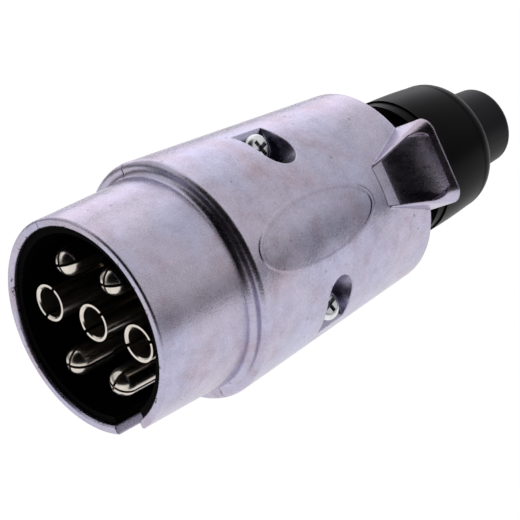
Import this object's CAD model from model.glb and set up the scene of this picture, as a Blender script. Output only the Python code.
"""Looks of the seven-pole trailer plug: finishes, the gland's thread, studio and camera."""
from math import cos, pi, radians, sin

import bmesh
import bpy
import numpy as np
from mathutils import Matrix, Vector


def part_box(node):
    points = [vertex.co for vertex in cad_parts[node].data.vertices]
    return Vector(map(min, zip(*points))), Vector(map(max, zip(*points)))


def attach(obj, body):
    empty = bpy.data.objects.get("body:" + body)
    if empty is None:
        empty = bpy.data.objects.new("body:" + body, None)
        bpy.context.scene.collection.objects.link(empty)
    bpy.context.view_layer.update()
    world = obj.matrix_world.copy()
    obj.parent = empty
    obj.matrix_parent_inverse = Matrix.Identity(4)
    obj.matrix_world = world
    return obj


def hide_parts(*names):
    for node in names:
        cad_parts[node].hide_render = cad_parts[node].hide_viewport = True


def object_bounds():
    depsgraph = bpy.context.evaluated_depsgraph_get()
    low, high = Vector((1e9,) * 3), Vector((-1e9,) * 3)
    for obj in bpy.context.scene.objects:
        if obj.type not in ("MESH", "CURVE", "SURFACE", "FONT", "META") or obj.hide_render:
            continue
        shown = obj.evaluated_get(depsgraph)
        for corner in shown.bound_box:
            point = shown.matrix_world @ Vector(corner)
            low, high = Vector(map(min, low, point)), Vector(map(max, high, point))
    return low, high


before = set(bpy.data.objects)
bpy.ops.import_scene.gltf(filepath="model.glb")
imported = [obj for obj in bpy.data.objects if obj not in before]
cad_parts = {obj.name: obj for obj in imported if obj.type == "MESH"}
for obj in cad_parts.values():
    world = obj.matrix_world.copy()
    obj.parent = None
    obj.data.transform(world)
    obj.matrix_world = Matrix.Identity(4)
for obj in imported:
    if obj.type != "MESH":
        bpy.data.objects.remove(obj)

cad_low, cad_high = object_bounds()
MM = 0.001

# ---- Where things are, from the frame ----
gland_low, gland_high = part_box("gland_body")
shell_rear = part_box("top_shell_half")[1].y

# ---- The gland's screw thread ----
THREAD_PITCH = 2.0 * MM
THREAD_DEPTH = 0.75 * MM
THREAD_ROOT = 9.83 * MM
RIDGE_STEEPNESS = 2.6       # of the flanks, for a thread one pitch wide and one depth high
RIDGE_GAP = 0.45            # takes the flanks' feet apart, for a flat root
THREAD_FADE = 0.6           # share of a pitch over which the thread ends at the cable end
ROWS_PER_PITCH = 16
ROOT_BAND = 0.2 * MM        # points this near the root radius take the thread
SHARP_ANGLE = radians(35)

# ---- Gland body ----
CABLE_WAY = 6.0 * MM
SPIGOT_BORE = 8.6 * MM
NECK = 10.8 * MM
INNER_COLLAR = 3.5 * MM
OUTER_COLLAR = 2.0 * MM
RECESS = 5.9 * MM           # recess at the housing's cable end
COLLAR_EDGE = 0.2 * MM
SPIGOT_EDGE = 0.5 * MM
SPIGOT_LAND = 3.0 * MM      # straight bore at the cable end
SPIGOT_CONE = 5.5 * MM      # bore's cone in front of it

# ---- The nose's front edge ----
RIM_NICKS = 17.75 * MM      # nicks lie inside this radius
RIM_DEPTH = 0.9 * MM        # and this near the rim
ROUNDED_EDGE = 0.4 * MM     # radius of the casting's edges


# ======== Shader sums ========

class Value:
    """A socket that takes part in sums: value * 2 + 1 adds the Math nodes that say so."""

    def __init__(self, nodes, socket):
        self.nodes, self.socket = nodes, socket

    def sum(self, operation, first, second):
        return self.nodes.sum(operation, first, second)

    def __add__(self, other):
        return self.sum("ADD", self, other)

    def __sub__(self, other):
        return self.sum("SUBTRACT", self, other)

    def __mul__(self, other):
        return self.sum("MULTIPLY", self, other)

    def __rsub__(self, other):
        return self.sum("SUBTRACT", other, self)

    def __gt__(self, other):
        return self.sum("GREATER_THAN", self, other)

    def __lt__(self, other):
        return self.sum("LESS_THAN", self, other)

    __radd__, __rmul__ = __add__, __mul__


class Nodes:
    """A node tree that is built with calls and sums."""

    def __init__(self, tree):
        self.tree = tree

    def node(self, kind, settings=None, sockets=None, out=0, stops=None):
        """Any node: its settings and a ramp's stops first, then its sockets' values or links."""
        made = self.tree.nodes.new(kind if kind.startswith("GeometryNode") else "ShaderNode" + kind)
        for key, value in (settings or {}).items():
            setattr(made, key, value)
        if stops:
            ramp = made.color_ramp.elements
            while len(ramp) < len(stops):
                ramp.new(0.5)
            for element, (position, colour) in zip(ramp, stops):
                element.position, element.color = position, (*colour, 1.0)
        for key, value in (sockets or {}).items():
            if isinstance(value, Value):
                self.tree.links.new(value.socket, made.inputs[key])
            else:
                made.inputs[key].default_value = value
        return Value(self, made.outputs[out])

    def sum(self, operation, first, second=0.0):
        """One Math node; some operations take one value only."""
        return self.node("Math", {"operation": operation}, {0: first, 1: second})

    def clamp(self, value):
        """The value, kept from 0 to 1."""
        return self.node("Math", {"operation": "MULTIPLY", "use_clamp": True}, {0: value, 1: 1.0})

    def ramp(self, factor, *stops):
        """Colour that runs through the stops as the factor goes from 0 to 1."""
        return self.node("ValToRGB", None, {"Fac": factor}, stops=stops)

    def mix(self, factor, first, second, blend="MIX"):
        """Mixes two colours."""
        return self.node("Mix", {"data_type": "RGBA", "blend_type": blend},
                         {0: factor, 6: first, 7: second}, out=2)

    def grey(self, value):
        """A number as a colour, for multiplying."""
        return self.node("CombineColor", None, {0: value, 1: value, 2: value})


class Finish(Nodes):
    """A material made of nodes round one Principled shader."""

    def __init__(self, name, **constants):
        self.material = bpy.data.materials.new(name)
        self.material.use_nodes = True
        super().__init__(self.material.node_tree)
        self.shader = self.tree.nodes["Principled BSDF"]
        for socket, value in constants.items():
            self.shader.inputs[socket.replace("_", " ")].default_value = value
        self.place = self.node("TexCoord", out="Object")

    def drive(self, socket, value):
        """Links a varying value to one of the shader's sockets."""
        self.tree.links.new(value.socket, self.shader.inputs[socket])

    def noise(self, scale, detail=2.0, rough=0.5, place=None):
        """Soft noise from 0 to 1, with its scale in features per metre."""
        return self.node("TexNoise", None, {
            "Vector": place or self.place, "Scale": scale, "Detail": detail, "Roughness": rough})

    def stretched(self, x, y, z):
        """The place on the object with each axis scaled, for streaks."""
        return self.node("Mapping", None, {"Vector": self.place, "Scale": (x, y, z)})

    def axial(self):
        """Distance behind the front rim, in metres."""
        return self.node("SeparateXYZ", None, {0: self.place}, out=1)

    def radius(self):
        """Distance from the plug's axis, in metres."""
        flat = self.node("VectorMath", {"operation": "MULTIPLY"}, {0: self.place, 1: (1, 0, 1)})
        return self.node("VectorMath", {"operation": "LENGTH"}, {0: flat}, out="Value")

    def specks(self, scale, size, share):
        """Small round specks: 1 inside each, 0 elsewhere."""
        distance = self.node("TexVoronoi", None, {"Vector": self.place, "Scale": scale})
        colour = self.node("TexVoronoi", None, {"Vector": self.place, "Scale": scale}, out="Color")
        pick = self.node("SeparateColor", None, {0: colour})
        return (size - distance > 0) * (share - pick > 0)

    def relief(self, height, depth, strength=1.0, edge=0.0):
        """Bumps of a depth in metres, on edges rounded by a radius in metres."""
        sockets = {"Height": height, "Distance": depth, "Strength": strength}
        if edge:
            sockets["Normal"] = self.node("Bevel", {"samples": 6}, {"Radius": edge})
        self.drive("Normal", self.node("Bump", None, sockets, out="Normal"))

    def on(self, *names):
        """Gives this finish to CAD nodes."""
        for name in names:
            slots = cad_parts[name].data.materials
            slots.clear()
            slots.append(self.material)


# ======== Finishes ========
BLACK_CAST = (0.98, 0.92, 1.16, 1.0)      # faint violet in the black plastics
BLACK_SHEEN = (0.90, 0.84, 1.0, 1.0)


def cast_aluminium():
    """Die-cast skin: fine grain, faint pink and blue mottling, brown stains, dark pits, nicks at the rim."""
    skin = Finish("cast_aluminium", Metallic=1.0)
    mottle = skin.noise(scale=85, detail=3)
    cloud = skin.noise(scale=330, detail=4, rough=0.6)
    grain = skin.noise(scale=2600, detail=3, rough=0.7)
    rubs = skin.noise(scale=900, detail=3, rough=0.6, place=skin.stretched(1, 0.08, 1))
    pits = skin.specks(scale=560, size=0.15, share=0.10)
    chipped = skin.noise(scale=420, detail=4, rough=0.75) > 0.60
    nicks = chipped * (skin.axial() < RIM_DEPTH) * (skin.radius() < RIM_NICKS)
    tint = skin.ramp(mottle, (0.36, (0.545, 0.490, 0.605)), (0.50, (0.525, 0.492, 0.630)),
                     (0.64, (0.500, 0.488, 0.650)))
    stain = skin.ramp(skin.noise(scale=135, detail=4, rough=0.65), (0.50, (1, 1, 1)),
                      (0.68, (0.90, 0.82, 0.80)))
    level = 0.42 + 0.50 * cloud + 0.52 * grain - 0.30 * pits - 0.75 * nicks
    stained = skin.mix(1.0, tint, stain, "MULTIPLY")
    skin.drive("Base Color", skin.mix(1.0, stained, skin.grey(level), "MULTIPLY"))
    skin.drive("Roughness", 0.13 + 0.12 * cloud + 0.10 * rubs + 0.08 * grain)
    skin.relief(grain + 0.6 * cloud + 0.5 * rubs - 2.0 * pits - 3.0 * nicks, depth=0.045 * MM,
                strength=0.55, edge=ROUNDED_EDGE)
    return skin


def moulded_black(name, roughness, texture_depth, level, gloss):
    """Moulded black: fine spark-eroded texture, faint flow marks and a little dust."""
    skin = Finish(name, Metallic=0.0, Specular_IOR_Level=gloss, Specular_Tint=BLACK_SHEEN)
    flow = skin.noise(scale=120, detail=3)
    texture = skin.noise(scale=2600, detail=2, rough=0.6)
    dust = skin.specks(scale=900, size=0.10, share=0.06)
    shade = level * (0.8 + 0.4 * flow + 0.3 * texture) + 0.03 * dust
    skin.drive("Base Color", skin.mix(1.0, BLACK_CAST, skin.grey(shade), "MULTIPLY"))
    skin.drive("Roughness", roughness + 0.10 * flow + 0.08 * texture)
    skin.relief(texture + 0.3 * flow, depth=texture_depth, strength=0.4)
    return skin


def bright_plate(name, colour, roughness, ring_scale):
    """Bright plate over turned metal, with fine turning rings and faint tarnish."""
    skin = Finish(name, Metallic=1.0)
    haze = skin.noise(scale=700, detail=4, rough=0.6)
    rings = skin.noise(scale=ring_scale, detail=2, place=skin.stretched(0.04, 1, 0.04))
    tarnish = skin.ramp(haze, (0.35, colour), (0.75, tuple(0.80 * part for part in colour)))
    skin.drive("Base Color", tarnish)
    skin.drive("Roughness", roughness + 0.12 * haze + 0.06 * rings)
    skin.relief(rings + 0.3 * haze, depth=0.012 * MM, strength=0.35)
    return skin


# ======== Gland ========

def lathe(name, outline, steps=120):
    """Closed ring of revolution round the axis, from (radius, axial) points in order."""
    rows = len(outline)
    angles = np.linspace(0, 2 * pi, steps, endpoint=False)
    places = [(r * cos(a), y, r * sin(a)) for r, y in outline for a in angles]
    faces = [
        (row * steps + k, row * steps + (k + 1) % steps,
         (row + 1) % rows * steps + (k + 1) % steps, (row + 1) % rows * steps + k)
        for row in range(rows) for k in range(steps)]
    mesh = bpy.data.meshes.new(name)
    mesh.from_pydata(places, [], faces)
    work = bmesh.new()
    work.from_mesh(mesh)
    bmesh.ops.recalc_face_normals(work, faces=work.faces)
    work.to_mesh(mesh)
    work.free()
    made = bpy.data.objects.new(name, mesh)
    bpy.context.scene.collection.objects.link(made)
    return made


def thread_tree(material):
    """Geometry Nodes tree that raises a screw thread on the outside of a plain spigot."""
    tree = bpy.data.node_groups.new("screw_thread", "GeometryNodeTree")
    tree.interface.new_socket("Geometry", in_out="INPUT", socket_type="NodeSocketGeometry")
    for name in ("Root Radius", "Pitch", "Depth", "Start", "End"):
        tree.interface.new_socket(name, in_out="INPUT", socket_type="NodeSocketFloat")
    tree.interface.new_socket("Geometry", in_out="OUTPUT", socket_type="NodeSocketGeometry")
    nodes = Nodes(tree)
    given = tree.nodes.new("NodeGroupInput").outputs
    root, pitch, depth, start, end = (
        Value(nodes, given[name]) for name in ("Root Radius", "Pitch", "Depth", "Start", "End"))

    place = nodes.node("GeometryNodeInputPosition")
    x, y, z = (nodes.node("SeparateXYZ", None, {0: place}, out=axis) for axis in range(3))
    turn = nodes.sum("ARCTAN2", z, x) * (0.5 / pi)
    flat = nodes.node("VectorMath", {"operation": "MULTIPLY"}, {0: place, 1: (1, 0, 1)})
    radius = nodes.node("VectorMath", {"operation": "LENGTH"}, {0: flat}, out="Value")
    phase = nodes.sum("FRACT", nodes.sum("DIVIDE", y, pitch) + turn)
    ridge = nodes.clamp(RIDGE_STEEPNESS * nodes.sum("ABSOLUTE", phase - 0.5) - RIDGE_GAP)
    runout = nodes.clamp(nodes.sum("DIVIDE", y - start, pitch)) * nodes.clamp(
        nodes.sum("DIVIDE", end - y, THREAD_FADE * pitch))
    outside = (radius > root - ROOT_BAND) * (radius < root + ROOT_BAND)
    rise = nodes.sum("DIVIDE", depth * ridge * runout * outside, radius)
    offset = nodes.node("VectorMath", {"operation": "SCALE"}, {0: flat, "Scale": rise})
    threaded = nodes.node("GeometryNodeSetPosition", None,
                          {"Geometry": Value(nodes, given["Geometry"]), "Offset": offset})
    real = nodes.node("GeometryNodeRealizeInstances", None, {"Geometry": threaded})
    painted = nodes.node("GeometryNodeSetMaterial", None, {"Geometry": real, "Material": material})
    tree.links.new(painted.socket, tree.nodes.new("NodeGroupOutput").inputs[0])
    return tree


def gland_body(finish):
    """Gland body with its screw thread, in place of the plain solid."""
    front, rear, collar = gland_low.y, gland_high.y, gland_high.x
    recess_floor = shell_rear - RECESS
    thread_start = recess_floor + OUTER_COLLAR
    rows = np.arange(thread_start, rear - 0.3 * MM, THREAD_PITCH / ROWS_PER_PITCH)
    outline = [
        (CABLE_WAY, front), (collar, front), (collar, front + INNER_COLLAR), (NECK, front + INNER_COLLAR),
        (NECK, recess_floor), (collar, recess_floor),
        (collar, thread_start - COLLAR_EDGE), (collar - COLLAR_EDGE, thread_start)]
    outline += [(THREAD_ROOT, y) for y in rows]
    outline += [(THREAD_ROOT - SPIGOT_EDGE, rear), (SPIGOT_BORE, rear), (SPIGOT_BORE, rear - SPIGOT_LAND),
                (CABLE_WAY, rear - SPIGOT_LAND - SPIGOT_CONE)]
    made = lathe("threaded_gland", outline)
    tree = thread_tree(finish.material)
    modifier = made.modifiers.new("thread", "NODES")
    modifier.node_group = tree
    sizes = {"Root Radius": THREAD_ROOT, "Pitch": THREAD_PITCH, "Depth": THREAD_DEPTH,
             "Start": thread_start, "End": rear}
    for item in tree.interface.items_tree:
        if item.in_out == "INPUT" and item.name in sizes:
            modifier[item.identifier] = sizes[item.name]
    threaded = made.evaluated_get(bpy.context.evaluated_depsgraph_get())
    plain = bpy.data.meshes.new_from_object(threaded)
    made.modifiers.clear()
    made.data = plain
    for face in plain.polygons:
        face.use_smooth = True
    plain.set_sharp_from_angle(angle=SHARP_ANGLE)
    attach(made, "housing")
    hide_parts("gland_body")


# ======== Studio ========
# Brightness of the tent against how far a direction looks towards the camera: 0 is away, 1 is towards.
TENT = 0.84
TENT_SHARES = ((0.36, 1.0), (0.52, 0.84), (0.62, 1.2), (0.665, 1.1), (0.70, 0.30), (0.74, 0.002))
BACK_LIGHT = (1.55, 1.50, 1.58)      # white panel behind the plug, on the side away from the camera
PANEL_EDGE = (0.19, 0.26)
# Dim band at the horizon, against height: 0 is straight down, 1 is straight up.
HORIZON = ((0.36, 1.0), (0.47, 0.45), (0.56, 0.45), (0.68, 1.0))
FLOOR_HALF = 3.0
FLOOR_GAP = 0.2 * MM                 # below the plug
FLOOR_POOL = (0.02, 0.15)            # middle of the lit part of the floor
POOL_EDGE = (0.23, 0.33)
FLOOR_FAR = 0.10                     # brightness outside the pool


def greys(shades):
    """Ramp stops in grey."""
    return ((stop, (shade, shade, shade)) for stop, shade in shades)


def studio(front):
    """A grey tent with a white panel behind, a dark opening in front and a dim band at the horizon."""
    world = bpy.data.worlds.new("tent")
    bpy.context.scene.world = world
    world.use_nodes = True
    nodes = Nodes(world.node_tree)
    way = nodes.node("TexCoord")
    facing = 0.5 + 0.5 * nodes.node("VectorMath", {"operation": "DOT_PRODUCT"}, {0: way, 1: front},
                                    out="Value")
    height = 0.5 + 0.5 * nodes.node("SeparateXYZ", None, {0: way}, out=2)
    tent = nodes.ramp(facing, *greys((stop, share * TENT) for stop, share in TENT_SHARES))
    band = nodes.ramp(height, *greys(HORIZON))
    panel = nodes.ramp(facing, (PANEL_EDGE[0], BACK_LIGHT), (PANEL_EDGE[1], (0, 0, 0)))
    light = nodes.mix(1.0, nodes.mix(1.0, tent, band, "MULTIPLY"), panel, "LIGHTEN")
    nodes.tree.links.new(light.socket, nodes.tree.nodes["Background"].inputs["Color"])

    mesh = bpy.data.meshes.new("floor")
    top = cad_low.z - FLOOR_GAP
    corners = ((-FLOOR_HALF, -FLOOR_HALF), (FLOOR_HALF, -FLOOR_HALF), (FLOOR_HALF, FLOOR_HALF),
               (-FLOOR_HALF, FLOOR_HALF))
    mesh.from_pydata([(x, y, top) for x, y in corners], [], [(0, 1, 2, 3)])
    floor = bpy.data.objects.new("floor", mesh)
    bpy.context.scene.collection.objects.link(floor)
    paper = Finish("white_paper", Base_Color=(0.02, 0.02, 0.02, 1), Specular_IOR_Level=0.0,
                   Emission_Strength=1.0)
    away = paper.node("VectorMath", {"operation": "DISTANCE"}, {0: paper.place, 1: (*FLOOR_POOL, cad_low.z)},
                      out="Value")
    paper.drive("Emission Color", paper.ramp(away, *greys(zip(POOL_EDGE, (1.0, FLOOR_FAR)))))
    mesh.materials.append(paper.material)


def area_light(name, place, target, width, height, power):
    """Soft box that faces a target."""
    lamp = bpy.data.lights.new(name, "AREA")
    lamp.shape = "RECTANGLE"
    lamp.size, lamp.size_y, lamp.energy = width, height, power
    made = bpy.data.objects.new(name, lamp)
    made.location = place
    made.rotation_euler = (Vector(place) - Vector(target)).to_track_quat("Z", "Y").to_euler()
    bpy.context.scene.collection.objects.link(made)


# ======== Camera ========
CAMERA_AZIMUTH = radians(45.6)
CAMERA_ELEVATION = radians(27.4)
CAMERA_ROLL = radians(3.27)
CAMERA_DISTANCE = 349.4 * MM     # from the centre of the front rim
CAMERA_ASIDE = (28.07 * MM, 10.81 * MM)     # to the right and up from it
CAMERA_LENS = 152.05
CAMERA_SENSOR = 36.0


def camera():
    """Camera at the viewing angle, off to the side of the front rim so that the plug sits in the frame."""
    across = Vector((cos(CAMERA_AZIMUTH), sin(CAMERA_AZIMUTH), 0))
    back = Vector((sin(CAMERA_AZIMUTH) * cos(CAMERA_ELEVATION),
                   -cos(CAMERA_AZIMUTH) * cos(CAMERA_ELEVATION), sin(CAMERA_ELEVATION)))
    upward = back.cross(across)
    right = cos(CAMERA_ROLL) * across - sin(CAMERA_ROLL) * upward
    up = sin(CAMERA_ROLL) * across + cos(CAMERA_ROLL) * upward
    place = CAMERA_ASIDE[0] * right + CAMERA_ASIDE[1] * up + CAMERA_DISTANCE * back
    lens = bpy.data.cameras.new("camera")
    lens.sensor_width, lens.lens = CAMERA_SENSOR, CAMERA_LENS
    lens.clip_start, lens.clip_end = 0.01, 20.0
    made = bpy.data.objects.new("camera", lens)
    bpy.context.scene.collection.objects.link(made)
    turned = Matrix((right, up, back)).transposed().to_4x4()
    made.matrix_world = Matrix.Translation(place) @ turned
    bpy.context.scene.camera = made
    return back


# ======== The scene ========
view_back = camera()
bpy.context.scene.view_settings.view_transform = "Standard"
studio(view_back)
area_light("top_box", place=(-0.30, 0.25, 0.50), target=(0, 0.05, 0), width=0.5, height=0.4, power=0.25)

cast_aluminium().on("top_shell_half", "bottom_shell_half")
moulded_black("carrier_plastic", roughness=0.50, texture_depth=0.02 * MM, level=0.0012, gloss=0.02).on(
    "contact_carrier", "carrier_back_plate")
gland_plastic = moulded_black("gland_plastic", roughness=0.25, texture_depth=0.008 * MM, level=0.0010,
                              gloss=0.06)
gland_plastic.on("gland_nut", "slip_washer")
gland_body(gland_plastic)
moulded_black("bush_rubber", roughness=0.36, texture_depth=0.01 * MM, level=0.0025, gloss=0.15).on(
    "sealing_bush")
bright_plate("nickel_plate", colour=(0.74, 0.68, 0.62), roughness=0.12, ring_scale=5000).on(
    "pin_contact_1", "pin_contact_2", "pin_contact_3", "pin_contact_4",
    "tube_contact_left", "tube_contact_centre", "tube_contact_right")
bright_plate("zinc_plate", colour=(0.78, 0.79, 0.82), roughness=0.18, ring_scale=3000).on(
    "shell_screws", "terminal_screws", "back_plate_screws")
